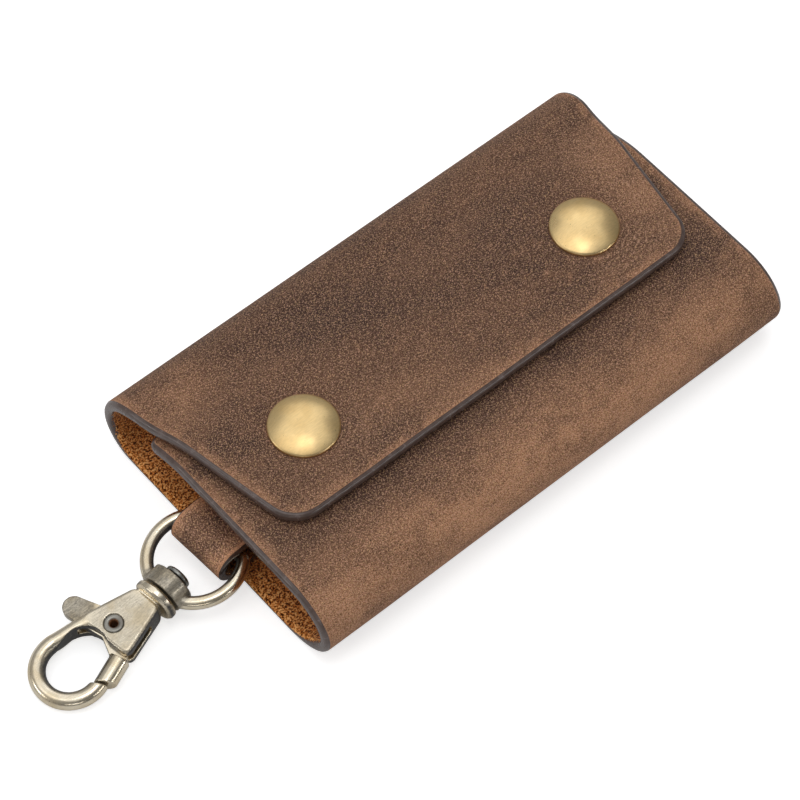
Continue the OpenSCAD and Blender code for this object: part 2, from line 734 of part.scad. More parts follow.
module trigger_rivet() {
  color(steel_colour) at_hook() translate(pivot) difference() {
    union() {
      cylinder(d = trigger_rivet_d, h = cheek_h, center = true);
      for (s = [0, 1]) mirror([0, 0, s]) translate([0, 0, cheek_h / 2 - trigger_head_h])
        cylinder(d = trigger_head_d, h = trigger_head_h);
    }
    cylinder(d = trigger_rivet_bore, h = 2 * cheek_h, center = true);
  }
}

module trigger_spring() {
  color(steel_colour) at_hook() translate(pivot) translate([0, 0, lever_t / 2 - spring_wire_d]) {
    difference() {
      cylinder(r = spring_r + spring_wire_d / 2, h = spring_wire_d);
      translate([0, 0, -cut]) cylinder(r = spring_r - spring_wire_d / 2, h = spring_wire_d + 2 * cut);
    }
    translate([-spring_r, 0, spring_wire_d / 2])
      cylinder(r = spring_wire_d / 2 - fit, h = spring_leg_h - lever_t / 2 + spring_wire_d / 2);
  }
}

back_panel();
flap();
front_panel();
strap_loop();
strap_rivet();
strap_rivet_cap();
snap_cap(-1);  // left_snap_cap
snap_cap(1);  // right_snap_cap
snap_socket(-1);  // left_snap_socket
snap_socket(1);  // right_snap_socket
snap_stud(-1);  // left_snap_stud
snap_stud(1);  // right_snap_stud
snap_post(-1);  // left_snap_post
snap_post(1);  // right_snap_post
key_plate();
plate_rivets();
key_rod();
key_hook(1);  // key_hook_1
key_hook(2);  // key_hook_2
key_hook(3);  // key_hook_3
key_hook(4);  // key_hook_4
key_hook(5);  // key_hook_5
key_hook(6);  // key_hook_6
key_gate(1);  // key_gate_1
key_gate(2);  // key_gate_2
key_gate(3);  // key_gate_3
key_gate(4);  // key_gate_4
key_gate(5);  // key_gate_5
key_gate(6);  // key_gate_6
swivel_loop();
swivel_rivet();
hook_body();
trigger();
trigger_rivet();
trigger_spring();
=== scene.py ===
import bpy
import bmesh
import numpy as np
from math import atan, cos, pi, radians, sin, tan
from mathutils import Matrix, Vector, noise


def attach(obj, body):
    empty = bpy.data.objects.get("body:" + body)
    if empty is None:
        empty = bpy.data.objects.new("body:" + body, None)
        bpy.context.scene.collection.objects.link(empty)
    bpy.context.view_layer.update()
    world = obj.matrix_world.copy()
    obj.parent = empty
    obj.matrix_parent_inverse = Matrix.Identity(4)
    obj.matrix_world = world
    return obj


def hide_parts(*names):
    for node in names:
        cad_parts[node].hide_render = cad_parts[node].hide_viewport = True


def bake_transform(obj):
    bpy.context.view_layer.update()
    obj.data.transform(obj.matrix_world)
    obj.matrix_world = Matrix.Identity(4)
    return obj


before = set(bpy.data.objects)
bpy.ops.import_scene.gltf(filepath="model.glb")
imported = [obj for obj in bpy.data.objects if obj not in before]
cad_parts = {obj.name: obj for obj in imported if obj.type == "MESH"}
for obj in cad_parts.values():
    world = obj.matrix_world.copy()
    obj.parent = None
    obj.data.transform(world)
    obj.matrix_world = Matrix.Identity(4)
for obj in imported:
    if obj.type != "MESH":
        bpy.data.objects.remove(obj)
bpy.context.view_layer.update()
MM = 0.001

# Leather wrap
# One strip of thick oiled cowhide, cut to shape, its edges rounded and painted, folded into a back, a
# front panel and a flap. It is made as two meshes that meet under the middle of the back, because one
# half bends at the top fold and the other at the bottom fold.

case_half = 53.0
leather_t = 2.2
top_fold_h = 7.5
flap_top = 18.6
front_top = 16.2
snap_x = 32.3
fold_step = 3.0


def oval_row(middle, radii, start, stop):
    """Points and outward normals along part of an oval, with the angles in degrees."""
    row = []
    for a in np.radians(np.arange(start, stop, np.sign(stop - start) * fold_step)):
        n = Vector((cos(a) / radii[0], sin(a) / radii[1])).normalized()
        row.append((middle[0] + radii[0] * cos(a), middle[1] + radii[1] * sin(a), n.x, n.y))
    return row


def bend_row(p, q, start, stop, count=24):
    """Points and upward normals along a slow bend from p to q."""
    row = []
    span = cos(radians(start)) - cos(radians(stop))
    for i in range(count):
        w = radians(start + (stop - start) * i / count)
        share = (cos(radians(start)) - cos(w)) / span
        slope = (q[1] - p[1]) * sin(w) * radians(stop - start) / span / (q[0] - p[0])
        n = Vector((-slope, 1)).normalized()
        row.append((p[0] + (q[0] - p[0]) * i / count, p[1] + (q[1] - p[1]) * share, n.x, n.y))
    return row


class Run:
    """The outer line of a piece of leather seen edge on, followed by the distance along it in mm."""

    def __init__(self, row):
        self.row = np.array(row, float)
        steps = np.hypot(*np.diff(self.row[:, :2], axis=0).T)
        self.at = np.concatenate([[0], np.cumsum(steps)])
        self.length = self.at[-1]

    def point(self, s):
        return [np.interp(s, self.at, self.row[:, k]) for k in range(4)]


def spread(low, high, coarse, fine, places, reach):
    """Rising values from low to high, closer together within reach of the given places."""
    values = [low]
    while values[-1] < high - coarse * 0.4:
        near = min((abs(values[-1] - p) for p in places), default=high - low)
        values.append(values[-1] + (fine if near < reach else coarse))
    values[-1] = high
    return values


rim_inset = 0.8
rim_rings = [(0.78, 0.03), (0.45, 0.11), (0.2, 0.27), (0.05, 0.52), (0, 0.85)]


def cut_leather(name, run, stations, columns, thick, place, shape, finishes, closed_start=False, flip_v=1,
                bare=lambda s: 0 * s, roundness=1.0):
    """A piece of leather with rounded rims. Stations are (distance, half width, normal across, normal along)
    down one side. Place turns a flat point into space, shape says how far each face moves outward, and bare
    says how many mm of the rim's inner side are left unpainted at a distance. Roundness scales the rim's
    curve. The faces are of three kinds: grain side, painted rim and flesh side."""
    inset = rim_inset * roundness
    rings = [(i * roundness, d * thick / leather_t) for i, d in rim_rings]
    rings += [(i, thick - d) for i, d in reversed(rings)]
    last = len(stations) - 1
    across = len(columns)
    flat = []
    for s, w, nx, ns in stations:
        half = w - inset * nx
        flat += [(half * c, s - inset * ns) for c in columns]
    outline = [(k, across - 1, (w, s), (nx, ns)) for k, (s, w, nx, ns) in enumerate(stations)]
    end_s = stations[-1][0]
    start_s = stations[0][0]
    for j in range(across - 2, 0, -1):
        outline.append((last, j, (flat[last * across + j][0], end_s), (0, 1)))
    outline += [(k, 0, (-w, s), (-nx, ns)) for k, (s, w, nx, ns) in reversed(list(enumerate(stations)))]
    if closed_start:
        for j in range(1, across - 1):
            outline.append((0, j, (flat[j][0], start_s), (0, -1)))
    points = [(x, s, 0.0) for x, s in flat] + [(x, s, thick) for x, s in flat]
    count = len(flat)
    ring_at = []
    for back, depth in rings:
        ring_at.append(len(points))
        points += [(p[0] - back * n[0], p[1] - back * n[1], depth) for _, _, p, n in outline]
    faces = []
    kinds = []
    for k in range(last):
        for j in range(across - 1):
            a = k * across + j
            faces.append((a, a + 1, a + across + 1, a + across))
            kinds.append(0)
            faces.append((count + a, count + a + across, count + a + across + 1, count + a + 1))
            kinds.append(2)
    loops = [[k * across + j for k, j, _, _ in outline]]
    loops += [[at + i for i in range(len(outline))] for at in ring_at]
    loops.append([count + v for v in loops[0]])
    turns = range(len(outline)) if closed_start else range(len(outline) - 1)
    for r in range(len(loops) - 1):
        for i in turns:
            i2 = (i + 1) % len(outline)
            faces.append((loops[r][i], loops[r + 1][i], loops[r + 1][i2], loops[r][i2]))
            kinds.append(0 if r == 0 else 2 if r == len(loops) - 2 else 1)
    points = np.array(points)
    x, s, depth = points.T
    a, z, na, nz = run.point(s)
    out = shape(x, s, a, depth) - depth
    mesh = bpy.data.meshes.new(name)
    mesh.from_pydata(place(x, a + na * out, z + nz * out) * MM, [], faces)
    for finish in finishes:
        mesh.materials.append(finish)
    mesh.polygons.foreach_set("material_index", kinds)
    mesh.polygons.foreach_set("use_smooth", [True] * len(faces))
    flat_map = mesh.uv_layers.new(name="flat")
    corner = np.zeros(len(mesh.loops), int)
    mesh.loops.foreach_get("vertex_index", corner)
    flat_map.data.foreach_set("uv", (np.stack([x, s * flip_v], 1)[corner] * MM).astype(np.float32).ravel())
    side = np.interp(s, [k[0] for k in stations], [k[1] for k in stations])
    gap = np.minimum(side - np.abs(x), end_s - s)
    if closed_start:
        gap = np.minimum(gap, s - start_s)
    mesh.attributes.new("rim_gap", "FLOAT", "POINT").data.foreach_set("value", gap.astype(np.float32))
    beyond = depth - thick + bare(s)
    mesh.attributes.new("unpainted", "FLOAT", "POINT").data.foreach_set("value", beyond.astype(np.float32))
    rest = np.zeros(len(points) * 3, np.float32)
    mesh.vertices.foreach_get("co", rest)
    mesh.attributes.new("rest_place", "FLOAT_VECTOR", "POINT").data.foreach_set("vector", rest)
    work = bmesh.new()
    work.from_mesh(mesh)
    bmesh.ops.recalc_face_normals(work, faces=work.faces)
    work.faces.ensure_lookup_table()
    first = work.faces[0]
    s_mid = float(np.mean([s[v.index] for v in first.verts]))
    _, _, n_a, n_z = run.point(s_mid)
    none = np.zeros(1)
    outward = place(none, np.array([n_a]), np.array([n_z]))[0] - place(none, none, none)[0]
    if first.normal.dot(Vector(outward)) < 0:
        bmesh.ops.reverse_faces(work, faces=work.faces)
    work.to_mesh(mesh)
    work.free()
    piece = bpy.data.objects.new(name, mesh)
    bpy.context.scene.collection.objects.link(piece)
    return piece


def step(tree, kind, settings=None, **sockets):
    """One node of a finish. Settings are the node's own choices. Sockets take a value or another node's
    output, and a socket named i0, i1 and so on is found by its number."""
    node = tree.nodes.new(kind)
    for key, value in (settings or {}).items():
        setattr(node, key, value)
    for key, value in sockets.items():
        numbered = key[0] == "i" and key[1:].isdigit()
        socket = node.inputs[int(key[1:]) if numbered else key.replace("_", " ")]
        if isinstance(value, bpy.types.NodeSocket):
            tree.links.new(value, socket)
        else:
            socket.default_value = value
    return node


def new_finish(name):
    """An empty finish with its Principled shader, whose tree the steps are added to."""
    finish = bpy.data.materials.new(name)
    finish.use_nodes = True
    tree = finish.node_tree
    shader = tree.nodes["Principled BSDF"]
    return finish, tree, shader


def millimetres(tree, source):
    """Coordinates in mm: on the flat cut of the leather, in the leather as made up, or in the piece's own
    place."""
    if source == "flat":
        where = step(tree, "ShaderNodeUVMap", {"uv_map": "flat"}).outputs[0]
    elif source == "rest":
        where = step(tree, "ShaderNodeAttribute", {"attribute_name": "rest_place"}).outputs["Vector"]
    else:
        where = step(tree, "ShaderNodeTexCoord").outputs["Object"]
    return step(tree, "ShaderNodeVectorMath", {"operation": "SCALE"}, i0=where, Scale=1000.0).outputs[0]


def stretched(tree, where, factors, turn=0.0):
    """The same coordinates turned and drawn out, for streaks and scratches."""
    return step(tree, "ShaderNodeMapping", {"vector_type": "TEXTURE"}, Vector=where, Rotation=(0, 0, turn),
                Scale=[1 / f for f in factors]).outputs[0]


def cloud(tree, where, size, detail=3.0, rough=0.55, twist=0.0):
    """Soft noise whose lumps are about size mm across."""
    return step(tree, "ShaderNodeTexNoise", None, Vector=where, Scale=1 / size, Detail=detail,
                Roughness=rough, Distortion=twist).outputs[0]


def fade(tree, value, low, high, out_low=0.0, out_high=1.0):
    """Turns a value into a share that rises smoothly from low to high."""
    return step(tree, "ShaderNodeMapRange", {"interpolation_type": "SMOOTHSTEP"}, Value=value, i1=low,
                i2=high, i3=out_low, i4=out_high).outputs[0]


def sums(tree, operation, a, b):
    """One sum with two values or sockets."""
    return step(tree, "ShaderNodeMath", {"operation": operation}, i0=a, i1=b).outputs[0]


def mixed(tree, a, part_a, b, part_b):
    """Two values added up, each in its part."""
    return sums(tree, "ADD", sums(tree, "MULTIPLY", a, part_a), sums(tree, "MULTIPLY", b, part_b))


def tint(tree, share, a, b):
    """Colour a turning into colour b by a share."""
    return step(tree, "ShaderNodeMix", {"data_type": "RGBA"}, i0=share, i6=a, i7=b).outputs[2]


def rgb(r, g, b):
    """A colour for a socket, from its linear shares."""
    return (r, g, b, 1.0)


def times(tree, colour, factor):
    """A colour made lighter or darker by a value."""
    return step(tree, "ShaderNodeVectorMath", {"operation": "SCALE"}, i0=colour, Scale=factor).outputs[0]


def raised(tree, shader, height, strength, depth):
    """Gives the surface a fine relief from a height, with a depth in mm."""
    bump = step(tree, "ShaderNodeBump", None, Strength=strength, Distance=depth * MM, Height=height)
    tree.links.new(bump.outputs[0], shader.inputs["Normal"])


def patch(tree, where, middle, size, turn=0.0):
    """A soft oval patch on the leather: 1 in its middle, 0 outside. Places and sizes are in mm."""
    scaled = step(tree, "ShaderNodeMapping", {"vector_type": "TEXTURE"}, Vector=where, Rotation=(0, 0, turn),
                  Location=(middle[0], middle[1], 0), Scale=(size[0], size[1], 1)).outputs[0]
    away = step(tree, "ShaderNodeVectorMath", {"operation": "LENGTH"}, i0=scaled).outputs["Value"]
    return fade(tree, away, 1.0, 0.0)


def grain_finish(name, patches=(), rubs=(), creases=(), tone=1.0):
    """Oiled pull-up leather: mottled brown, rubbed tan at rims and folds, dusted all over with fine light
    and dark specks, with short scratches and a fine pebbly grain. Patches are (middle, size, depth, turn) of
    darker places, either the leather's own darker tone or painted shadow, rubs are (middle, size, depth) of
    rubbed ones, and creases are (point, (middle, size), depth) of fine rings round a point."""
    finish, tree, shader = new_finish(name)
    where = millimetres(tree, "flat")
    clouds = cloud(tree, stretched(tree, where, (0.45, 1.0, 1.0), 0.2), 10, 3, 0.55, 0.3)
    small = cloud(tree, stretched(tree, where, (0.7, 1.0, 1.0), -0.4), 2.6, 3, 0.65, 0.4)
    dark = rgb(0.066 * tone, 0.033 * tone, 0.027 * tone)
    middle = rgb(0.176 * tone, 0.086 * tone, 0.053 * tone)
    light = rgb(0.60 * tone, 0.290 * tone, 0.155 * tone)
    mottle = mixed(tree, clouds, 0.6, small, 0.4)
    colour = tint(tree, fade(tree, mottle, 0.28, 0.58), dark, middle)
    # Each patch darkens the colour, as the leather's own darker tone or as painted shadow.
    for at, size, depth, *turn in patches:
        share = sums(tree, "MULTIPLY", patch(tree, where, at, size, *turn), depth)
        share = sums(tree, "MULTIPLY", share, fade(tree, mottle, 0.62, 0.38, 0.6, 1.0))
        colour = tint(tree, share, colour, dark)
    gap = step(tree, "ShaderNodeAttribute", {"attribute_name": "rim_gap"}).outputs["Fac"]
    rub = sums(tree, "MULTIPLY", fade(tree, gap, 3.6, 0.8), fade(tree, small, 0.35, 0.60, 0.1, 0.5))
    for at, size, depth in rubs:
        share = sums(tree, "MULTIPLY", patch(tree, where, at, size), depth)
        share = sums(tree, "MULTIPLY", share, fade(tree, mottle, 0.40, 0.60, 0.45, 1.0))
        rub = sums(tree, "MAXIMUM", rub, share)
    rub = sums(tree, "MAXIMUM", rub, fade(tree, small, 0.58, 0.80, 0.0, 0.3))
    colour = tint(tree, rub, colour, light)
    speck = cloud(tree, where, 0.21, 1, 0.8)
    grit = cloud(tree, where, 0.6, 3, 0.75)
    specks = mixed(tree, speck, 0.7, grit, 0.3)
    colour = times(tree, colour, fade(tree, specks, 0.38, 0.53, 0.26, 1.06))
    threads, crossing = (cloud(tree, stretched(tree, where, (0.5, 1.2, 1.0), turn), 0.22, 1, 0.8)
                         for turn in (0.9, -0.5))
    threads = sums(tree, "MAXIMUM", threads, crossing)
    threads = sums(tree, "ADD", threads, sums(tree, "MULTIPLY", rub, 0.06))
    fibre = tint(tree, fade(tree, grit, 0.42, 0.58), rgb(0.86 * tone, 0.52 * tone, 0.27 * tone),
                 rgb(0.86 * tone, 0.50 * tone, 0.33 * tone))
    colour = tint(tree, fade(tree, threads, 0.55, 0.70, 0.0, 0.75), colour, fibre)
    for turn, cut in ((0.5, 0.70), (-0.7, 0.71), (1.4, 0.72)):
        scratch = cloud(tree, stretched(tree, where, (0.35, 3.2, 1.0), turn), 1.0, 2, 0.6, 0.2)
        colour = tint(tree, fade(tree, scratch, cut, cut + 0.05, 0.0, 0.45), colour, light)
    crease_apart = 1.15
    for at, area, depth in creases:
        way = step(tree, "ShaderNodeVectorMath", {"operation": "SUBTRACT"}, i0=where, i1=(*at, 0)).outputs[0]
        away = step(tree, "ShaderNodeVectorMath", {"operation": "LENGTH"}, i0=way).outputs["Value"]
        bent = sums(tree, "ADD", away, sums(tree, "MULTIPLY", small, 3.5))
        wave = sums(tree, "SINE", sums(tree, "MULTIPLY", bent, 2 * pi / crease_apart), 0.0)
        share = sums(tree, "MULTIPLY", fade(tree, wave, 0.45, 1.0), patch(tree, where, *area))
        share = sums(tree, "MULTIPLY", share, fade(tree, grit, 0.40, 0.62, 0.0, depth))
        colour = tint(tree, share, colour, fibre)
    colour = tint(tree, fade(tree, gap, 1.05, 0.75, 0.0, 0.45), colour, light)
    tree.links.new(colour, shader.inputs["Base Color"])
    tree.links.new(fade(tree, specks, 0.3, 0.7, 0.80, 0.60), shader.inputs["Roughness"])
    shader.inputs["Specular IOR Level"].default_value = 0.22
    pores = step(tree, "ShaderNodeTexVoronoi", {"feature": "F1"}, Vector=where, Scale=2.2,
                 Randomness=1.0).outputs["Distance"]
    height = sums(tree, "ADD", specks, sums(tree, "MULTIPLY", fade(tree, pores, 0.0, 0.45), 0.5))
    height = sums(tree, "ADD", height, sums(tree, "MULTIPLY", small, 0.8))
    raised(tree, shader, height, 0.7, 0.12)
    return finish


def flesh_colour(tree, where):
    """The colour and height of rough suede: orange-brown, with dark and light tufts of fibre."""
    tufts = cloud(tree, where, 0.7, 3, 0.75)
    fine = cloud(tree, where, 0.36, 1, 0.6)
    broad = cloud(tree, where, 6, 3, 0.6)
    both = mixed(tree, tufts, 0.5, fine, 0.5)
    colour = tint(tree, fade(tree, both, 0.43, 0.50), rgb(0.050, 0.012, 0.003), rgb(0.62, 0.190, 0.036))
    colour = tint(tree, fade(tree, both, 0.50, 0.58), colour, rgb(1.0, 0.54, 0.20))
    colour = tint(tree, fade(tree, broad, 0.4, 0.7, 0, 0.2), colour, rgb(0.22, 0.080, 0.02))
    return colour, both


def paint_finish(name, tone=1.0):
    """Edge paint: dark grey-brown and satin, laid on thick over the rounded rim, with the odd nick. Where
    the inner side of the rim has been left unpainted the suede shows, with a ragged line between."""
    finish, tree, shader = new_finish(name)
    where = millimetres(tree, "rest")
    ripple = cloud(tree, where, 1.6, 3, 0.6)
    colour = tint(tree, fade(tree, ripple, 0.3, 0.7), rgb(0.080 * tone, 0.052 * tone, 0.043 * tone),
                  rgb(0.118 * tone, 0.079 * tone, 0.067 * tone))
    nick = cloud(tree, where, 0.5, 3, 0.7)
    colour = tint(tree, fade(tree, nick, 0.70, 0.77, 0, 0.5), colour, rgb(0.30, 0.17, 0.10))
    beyond = step(tree, "ShaderNodeAttribute", {"attribute_name": "unpainted"}).outputs["Fac"]
    ragged = sums(tree, "ADD", beyond, fade(tree, nick, 0.3, 0.7, -0.22, 0.22))
    bare_share = fade(tree, ragged, -0.04, 0.04)
    suede, tufts = flesh_colour(tree, where)
    colour = tint(tree, bare_share, colour, suede)
    tree.links.new(colour, shader.inputs["Base Color"])
    satin = fade(tree, ripple, 0.3, 0.7, 0.18, 0.28)
    rough = sums(tree, "MAXIMUM", satin, sums(tree, "MULTIPLY", bare_share, 0.95))
    tree.links.new(rough, shader.inputs["Roughness"])
    tree.links.new(fade(tree, bare_share, 0.0, 1.0, 0.7, 0.1), shader.inputs["Specular IOR Level"])
    fluff = sums(tree, "MULTIPLY", tufts, sums(tree, "MULTIPLY", bare_share, 2.0))
    raised(tree, shader, sums(tree, "ADD", ripple, fluff), 0.35, 0.12)
    return finish


def flesh_finish(name, tone=1.0):
    """The flesh side of the leather: rough suede, lighter or darker by its tone."""
    finish, tree, shader = new_finish(name)
    colour, tufts = flesh_colour(tree, millimetres(tree, "flat"))
    tree.links.new(times(tree, colour, tone), shader.inputs["Base Color"])
    shader.inputs["Roughness"].default_value = 0.95
    shader.inputs["Specular IOR Level"].default_value = 0.1
    shader.inputs["Sheen Weight"].default_value = 0.15
    raised(tree, shader, tufts, 1.0, 0.35)
    return finish


snap_s = 69.7
# Darker places: the first four are the leather's own darker tone on the flap and its fold; the last three
# are painted shadow, with some darker mottling, along the front panel just under the flap's free edge.
dark_and_shadow_patches = [((-6, 60), (34, 9), 1.0, 0.3), ((-20, 50), (36, 10), 0.7, 0.2),
                ((22, 60), (26, 9), 0.8, -0.15), ((-4, 46), (50, 12), 0.5),
                ((0, -56), (75, 8), 1.0), ((-34, -54), (22, 7), 0.5), ((44, -57), (14, 7), 0.6)]
rubbed_patches = [((-12, -40), (150, 15), 0.9), ((47, 68), (12, 24), 0.42), ((-46, 50), (14, 14), 0.35),
                  ((0, 83), (80, 6), 0.3), ((46, 44), (16, 10), 0.25), ((-20, 76), (26, 8), 0.2)]
fine_creases = [((snap_x, snap_s), ((36, 78), (14, 6)), 0.55), ((snap_x, snap_s), ((43, 66), (5, 10)), 0.45),
                ((-snap_x, snap_s), ((-26, 76), (8, 6)), 0.4), ((60, 40), ((44, 56), (7, 9)), 0.4)]
grain = grain_finish("oiled_grain", dark_and_shadow_patches, rubbed_patches, fine_creases, tone=0.87)
edge_paint = paint_finish("edge_paint")
flesh = flesh_finish("flesh_side", 1.08)
wrap_finishes = [grain, edge_paint, flesh]


def along_case(x, y, z):
    """Lays a piece out with its width along X and its run in Y and Z."""
    return np.stack([x, y, z], 1)


def soft_noise(x, s, size, seed):
    """Slow random swells over the leather, between about -1 and 1."""
    return np.array([noise.noise(Vector((a / size, b / size, seed))) for a, b in zip(x, s)])


def dent(x, y, at, radius, shoulder):
    """1 inside a round dent, falling to 0 over its shoulder."""
    away = np.hypot(x - at[0], y - at[1])
    t = np.clip((radius + shoulder - away) / shoulder, 0, 1)
    return t * t * (3 - 2 * t)


strap_rivet_at = (-41.5, -0.75)
plate_rivet_x = 19.2
plate_rivets_at = [(-plate_rivet_x, 17.5), (plate_rivet_x, 17.5)]
seat_depth = 0.72
seat_shoulder = 0.4
bare_rim = 1.2
rim_columns = [0.0, 0.35, 0.9, 1.7, 2.8]


def column_shares(places, reach, coarse, fine):
    """Columns across the leather as shares of its half width, close together near rims and fittings."""
    half = case_half - rim_inset
    inner = half - rim_columns[-1] - 1
    middle = spread(-inner, inner, coarse, fine, places, reach)
    left = [-half + c for c in rim_columns]
    return [c / half for c in left + middle + [-c for c in reversed(left)]]


# The top half: from the middle of the back round the top fold to the flap's free edge
top_fold_y = 30.0
low_fold_r = 7.0
high_fold_r = 9.5
flap_flat_y = 9.0
flap_free_y = -14.4
bend_h = (flap_top + front_top) / 2 - leather_t / 3
high_fold_y = top_fold_y - high_fold_r
top_row = [(0, 0, 0, -1)]
top_row += oval_row((top_fold_y - low_fold_r, top_fold_h), (low_fold_r, top_fold_h), -90, 0)
top_row += oval_row((high_fold_y, top_fold_h), (high_fold_r, bend_h - top_fold_h), 0, 90)
top_row += bend_row((high_fold_y, bend_h), (flap_flat_y, flap_top), 0, 180)
top_row += [(flap_flat_y, flap_top, 0, 1), (flap_free_y, flap_top, 0, 1)]
top_run = Run(top_row)
flap_end = top_run.length
flap_end_half = 46.0
taper_len = 36.4
taper_lead = 5.0
taper_ease = 7.0
taper = atan((case_half - flap_end_half) / taper_len)
corner_r = 6.5
corner_steps = 12
corner_x = flap_end_half + corner_r * tan(taper) - corner_r / cos(taper)
corner_s = flap_end - corner_r
taper_s = flap_end - taper_len - taper_lead
arc_s = corner_s + corner_r * sin(taper)


def top_stations():
    """Down one side of the top half: straight, running in from the fold, then round the flap's corner."""
    rows = []
    for s in spread(0, arc_s, 0.8, 0.4, [plate_rivets_at[0][1]], 3.4)[:-1]:
        over = s - taper_s
        t = min(1, max(0, over / taper_ease))
        narrowing = (case_half - corner_x - corner_r * cos(taper)) / (arc_s - taper_s - taper_ease / 2)
        w = case_half - narrowing * (over - taper_ease / 2 if t == 1 else over * t / 2 if t > 0 else 0)
        a = taper * t
        rows.append((s, w, cos(a), sin(a)))
    for i in range(corner_steps + 1):
        a = taper + (pi / 2 - taper) * i / corner_steps
        rows.append((corner_s + corner_r * sin(a), corner_x + corner_r * cos(a), cos(a), sin(a)))
    return rows


plate_seat_r = 2.52
flap_from, flap_grow = 44, 12
flap_swell, flap_swell_size = 0.14, 17
edge_reach, edge_wave, edge_rise = 7, 0.16, 0.13
snap_pull, pull_r, pull_width = 0.12, 6.3, 1.7


def top_shape(x, s, y, depth):
    """The flap's slow swells, its wavy free edge, the pull of the snaps and the plate rivets' seats."""
    on_flap = np.clip((s - flap_from) / flap_grow, 0, 1)
    out = on_flap * flap_swell * soft_noise(x, s, flap_swell_size, 3.1)
    near_end = np.exp(-((flap_end - s) / edge_reach) ** 2)
    wave = 0.5 - 0.5 * np.cos(2 * pi * (np.abs(x) - snap_x) / snap_x)
    out += on_flap * near_end * (edge_wave * wave + edge_rise * (1 + soft_noise(x, s * 0.3, 7, 8.7)))
    for side in (-1, 1):
        away = np.hypot(x - side * snap_x, y)
        out -= on_flap * snap_pull * np.exp(-((away - pull_r) / pull_width) ** 2)
    outer = depth < leather_t / 2
    for at in plate_rivets_at:
        out -= np.where(outer, seat_depth * dent(x, s, at, plate_seat_r, seat_shoulder), 0)
    return out


columns = column_shares([-plate_rivet_x, plate_rivet_x], 3.6, 1.0, 0.4)
wrap_top = cut_leather("wrap_top_half", top_run, top_stations(), columns, leather_t, along_case, top_shape,
                       wrap_finishes, bare=lambda s: np.interp(s, [20, 31], [bare_rim, 0]))
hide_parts("back_panel", "flap")
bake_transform(wrap_top)

# The bottom half: from the middle of the back round the bottom fold to the front panel's free edge
front_fold_h = front_top / 2
front_fold_y, front_fold_r = -20.5, 10.5
front_drop_y = 7.0
front_free_y, front_free_h = 17.5, 13.6
end_slope = (front_top - front_free_h) * pi / 2 / (front_free_y - front_drop_y)
bottom_row = [(0, 0, 0, -1)]
bottom_row += oval_row((front_fold_y, front_fold_h), (front_fold_r, front_fold_h), -90, -270)
bottom_row += [(front_fold_y, front_top, 0, 1)]
bottom_row += bend_row((front_drop_y, front_top), (front_free_y, front_free_h), 0, 90)
bottom_row += [(front_free_y, front_free_h, *Vector((end_slope, 1)).normalized())]
bottom_run = Run(bottom_row)
front_end = bottom_run.length
stud_to_edge = 17.6


def bottom_stations():
    """Down one side of the bottom half, with a small round corner at the free edge."""
    r = 2.0
    studs_s = front_end - stud_to_edge
    rivet_s = -strap_rivet_at[1]
    rows = [(s, case_half, 1, 0) for s in spread(0, front_end - r, 0.8, 0.35, [rivet_s, studs_s], 6.6)[:-1]]
    for i in range(8):
        a = pi / 2 * i / 7
        rows.append((front_end - r + r * sin(a), case_half - r + r * cos(a), cos(a), sin(a)))
    return rows


stud_seat_r, stud_shoulder = 4.74, 0.7
strap_seat_r = 3.22
front_from, front_grow = 26, 10
front_swell, front_swell_size = 0.09, 16


def bottom_shape(x, s, y, depth):
    """The front panel's slow swells, the seats of the snap studs, and the seat of the strap rivet's head."""
    on_front = np.clip((s - front_from) / front_grow, 0, 1)
    out = on_front * front_swell * (soft_noise(x, s, front_swell_size, 5.3) - 1)
    outer = depth < leather_t / 2
    for side in (-1, 1):
        seat = leather_t / 2 * dent(x, y, (side * snap_x, 0), stud_seat_r, stud_shoulder)
        out -= np.where(outer & (on_front == 1), seat, 0)
    out -= np.where(outer, seat_depth * dent(x, -s, strap_rivet_at, strap_seat_r, seat_shoulder), 0)
    return out


columns = column_shares([-snap_x, snap_x, strap_rivet_at[0]], 6.4, 1.0, 0.4)
wrap_bottom = cut_leather("wrap_bottom_half", bottom_run, bottom_stations(), columns, leather_t, along_case,
                          bottom_shape, wrap_finishes, flip_v=-1,
                          bare=lambda s: np.interp(s, [18, 30], [bare_rim, 0]))
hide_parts("front_panel")
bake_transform(wrap_bottom)

# Press snaps
# Domed brass caps pressed down into the flap's grain, with the spring sockets under the flap and the
# studs and posts in the front panel. The caps are stamped, brushed and left to go dull.


def turned(name, profile, at, axis, finish, around):
    """A round piece turned about an axis, with so many faces around it. Profile is (distance along, radius)
    in mm from the point at. A profile that ends where it starts closes on itself."""
    axis = Vector(axis).normalized()
    turn = Vector((0, 0, 1)).rotation_difference(axis).to_matrix()
    mesh = bpy.data.meshes.new(name)
    work = bmesh.new()
    rings = []
    for along, radius in profile:
        ring = []
        for i in range(around if radius else 1):
            a = 2 * pi * i / around
            spoke = turn @ Vector((radius * cos(a), radius * sin(a), along))
            ring.append(work.verts.new(Vector(at) * MM + spoke * MM))
        rings.append(ring)
    for low, high in zip(rings, rings[1:]):
        for i in range(around):
            k = (i + 1) % around
            corners = [low[i % len(low)], low[k % len(low)], high[k % len(high)], high[i % len(high)]]
            corners = [v for n, v in enumerate(corners) if v not in corners[:n]]
            if len(corners) > 2:
                work.faces.new(corners)
    if len(rings[0]) > 1 and profile[0] == profile[-1]:
        bmesh.ops.remove_doubles(work, verts=work.verts, dist=1e-7)
    bmesh.ops.recalc_face_normals(work, faces=work.faces)
    for face in work.faces:
        face.smooth = True
    work.to_mesh(mesh)
    work.free()
    mesh.materials.append(finish)
    piece = bpy.data.objects.new(name, mesh)
    bpy.context.scene.collection.objects.link(piece)
    return piece


